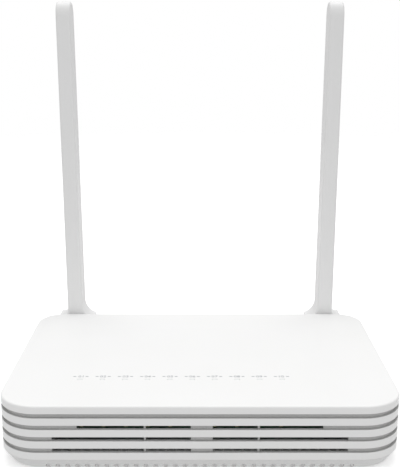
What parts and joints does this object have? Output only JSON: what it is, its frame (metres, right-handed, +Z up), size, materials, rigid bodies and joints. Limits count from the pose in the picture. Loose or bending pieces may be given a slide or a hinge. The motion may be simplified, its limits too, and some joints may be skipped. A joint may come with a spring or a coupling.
{
  "type": "optical network terminal",
  "caption": "White desktop optical network terminal: low ribbed case, folding rear blade antennas, status lights in the lid, rear sockets and push buttons.",
  "frame": {"origin": "centre of the overall box, at the surface the rubber feet stand on", "axes": "+Z up, -Y the front with the ribbed vents, +X the right side of someone facing the front"},
  "size_m": [0.173, 0.136, 0.1965],
  "materials": {
    "case_white": "fine satin texture",
    "antenna_white": "fine satin texture",
    "button_white": "satin",
    "pin_plastic": "satin",
    "zinc_steel": "zinc plated",
    "foot_rubber": "matte",
    "label_film": "printed film, blank",
    "board_green": "solder resist",
    "led_body": "clear over phosphor",
    "clear_plastic": "polished, slightly milky",
    "chip_black": "moulded epoxy",
    "ferrite": "pressed ferrite",
    "capacitor_can": "satin",
    "pad_rubber": "soft matte",
    "anodised_aluminium": "anodised",
    "tinned_steel": "tin plated",
    "gold_contact": "gold flash",
    "nickel_pin": "nickel plated",
    "ceramic_white": "ground ceramic",
    "fibre_yellow": "smooth jacket",
    "socket_yellow": "satin",
    "socket_grey": "satin",
    "socket_black": "satin",
    "socket_green": "satin",
    "switch_black": "satin",
    "switch_black_pin": "satin",
    "lead_jacket": "smooth jacket"
  },
  "bodies": {
    "housing": {"top_cover": "case_white", "bottom_cover": "case_white", "rear_panel": "case_white", "case_screws": "zinc_steel", "rubber_feet": "foot_rubber", "rating_label": "label_film", "lan_jacks": "socket_yellow", "phone_jack": "socket_grey", "power_jack": "socket_black", "optical_adapter": "socket_green", "hinge_pin_left": "pin_plastic", "hinge_pin_right": "pin_plastic", "main_board": "board_green", "status_leds": "led_body", "light_pipe": "clear_plastic", "processor": "chip_black", "thermal_pad": "pad_rubber", "heat_sink": "anodised_aluminium", "memory_chip": "chip_black", "flash_chip": "chip_black", "phone_line_chip": "chip_black", "radio_chip": "chip_black", "radio_shield": "tinned_steel", "crystal": "tinned_steel", "lan_transformers": "chip_black", "supply_capacitors": "capacitor_can", "supply_inductors": "ferrite", "optical_module": "tinned_steel", "fibre_pigtail": "fibre_yellow", "aerial_sockets": "gold_contact", "lan_contacts": "gold_contact", "phone_contacts": "gold_contact", "power_jack_pin": "nickel_pin", "ferrule_sleeve": "ceramic_white", "power_switch": "switch_black", "wlan_switch": "switch_black", "wps_switch": "switch_black", "reset_switch": "switch_black", "board_screws": "zinc_steel", "case_lead_left": "lead_jacket", "case_lead_right": "lead_jacket"},
    "antenna_left": {"antenna_shell_left": "antenna_white", "antenna_cover_left": "antenna_white", "radiator_left": "board_green", "antenna_lead_left": "lead_jacket"},
    "antenna_right": {"antenna_shell_right": "antenna_white", "antenna_cover_right": "antenna_white", "radiator_right": "board_green", "antenna_lead_right": "lead_jacket"},
    "power_button": {"power_button": "button_white"},
    "wlan_button": {"wlan_button": "button_white"},
    "wps_button": {"wps_button": "button_white"},
    "reset_button": {"reset_button": "switch_black_pin"}
  },
  "joints": [
    {"name": "antenna_left_fold", "type": "hinge", "parent": "housing", "child": "antenna_left", "pos_m": [-0.0686, 0.061, 0.019], "axis": [-1, 0, 0], "range_deg": [0, 90]},
    {"name": "antenna_right_fold", "type": "hinge", "parent": "housing", "child": "antenna_right", "pos_m": [0.0686, 0.061, 0.019], "axis": [-1, 0, 0], "range_deg": [0, 90]},
    {"name": "power_button_press", "type": "slide", "parent": "housing", "child": "power_button", "axis": [0, -1, 0], "range_m": [0, 0.003], "stiffness_N_per_m": 600, "springref_m": -0.0005},
    {"name": "wlan_button_press", "type": "slide", "parent": "housing", "child": "wlan_button", "axis": [-1, 0, 0], "range_m": [0, 0.0006], "stiffness_N_per_m": 1500, "springref_m": -0.0002},
    {"name": "wps_button_press", "type": "slide", "parent": "housing", "child": "wps_button", "axis": [-1, 0, 0], "range_m": [0, 0.0006], "stiffness_N_per_m": 1500, "springref_m": -0.0002},
    {"name": "reset_button_press", "type": "slide", "parent": "housing", "child": "reset_button", "axis": [-1, 0, 0], "range_m": [0, 0.0006], "stiffness_N_per_m": 1500, "springref_m": -0.0002}
  ]
}
